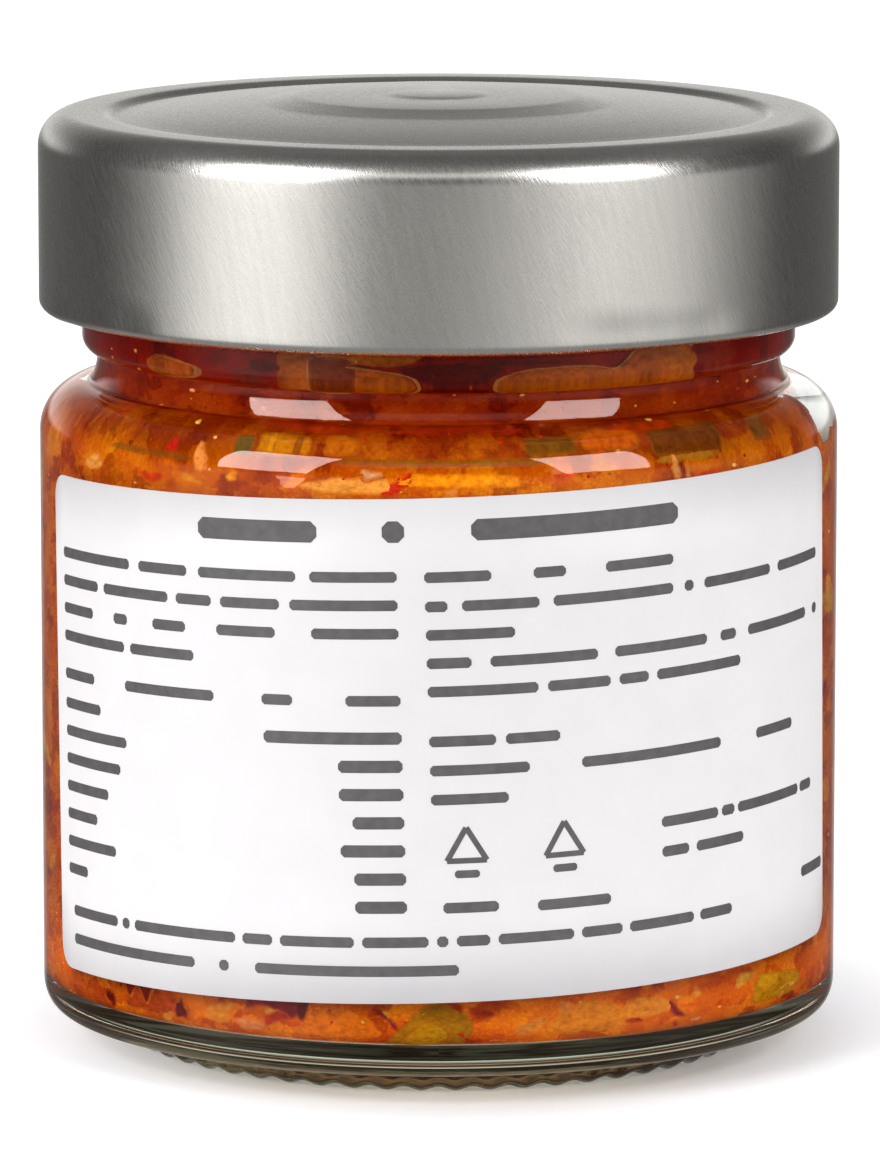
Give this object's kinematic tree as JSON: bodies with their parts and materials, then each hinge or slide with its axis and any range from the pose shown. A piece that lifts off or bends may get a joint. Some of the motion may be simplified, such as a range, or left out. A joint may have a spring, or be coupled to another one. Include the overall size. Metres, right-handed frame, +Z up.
{
  "type": "kimchi jar",
  "caption": "Shut straight-sided glass jar of chopped kimchi with a deep twist-off metal lid and a paper label on its front, standing on a knurled foot ring.",
  "frame": {"origin": "centre of the foot ring, on the surface that the jar stands on", "axes": "+Z up along the jar's axis, -Y towards the front, where the label is, +X to the right of the front"},
  "size_m": [0.073, 0.0734, 0.0866],
  "materials": {
    "clear_glass": "clear and smooth, faintly green where thick",
    "brushed_tinplate": "satin silver lacquered tinplate with fine scratches",
    "label_paper": "smooth white paper with plain grey bars",
    "kimchi_food": "wet orange mash with translucent leaf, pepper and onion pieces"
  },
  "bodies": {
    "root": {"jar": "clear_glass", "lid": "brushed_tinplate", "label": "label_paper", "kimchi": "kimchi_food"}
  },
  "joints": []
}
